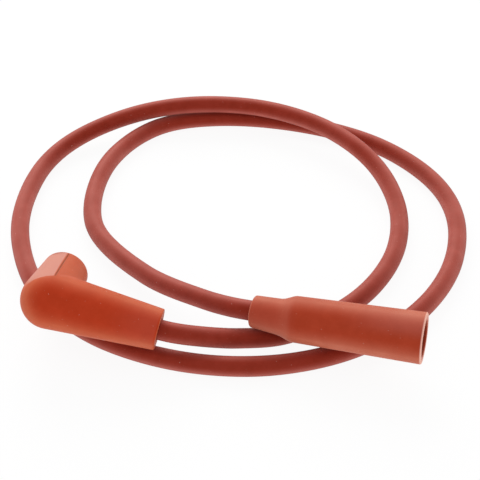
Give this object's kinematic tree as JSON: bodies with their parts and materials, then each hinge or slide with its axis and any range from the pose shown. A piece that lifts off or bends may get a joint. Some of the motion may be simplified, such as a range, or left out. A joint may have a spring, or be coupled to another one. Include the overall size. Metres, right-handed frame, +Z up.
{
  "type": "ignition cable",
  "caption": "Flexible silicone ignition cable lying in two loose loops, with a right-angle boot on one end and a straight boot on the other.",
  "frame": {"origin": "middle of the flat seat where a plug's tip stops, inside the straight boot, on that boot's own axis", "axes": "+X is level and runs out of the straight boot's mouth, +Z is up from the surface that the cable lies on, 15.4 mm below the origin"},
  "size_m": [0.1754, 0.1612, 0.0307],
  "materials": {
    "boot_rubber": "satin red-brown silicone",
    "cable_rubber": "satin dark red silicone",
    "terminal_steel": "tinned",
    "spring_steel": "bright wire",
    "conductor": "stranded copper"
  },
  "bodies": {
    "root": {"straight_boot": "boot_rubber", "straight_terminal": "terminal_steel", "straight_clip": "spring_steel", "straight_cable_end": "cable_rubber", "straight_conductor_end": "conductor", "elbow_boot": "boot_rubber", "elbow_terminal": "terminal_steel", "elbow_clip": "spring_steel", "elbow_cable_end": "cable_rubber", "elbow_conductor_end": "conductor", "cable_run": "cable_rubber"}
  },
  "joints": []
}
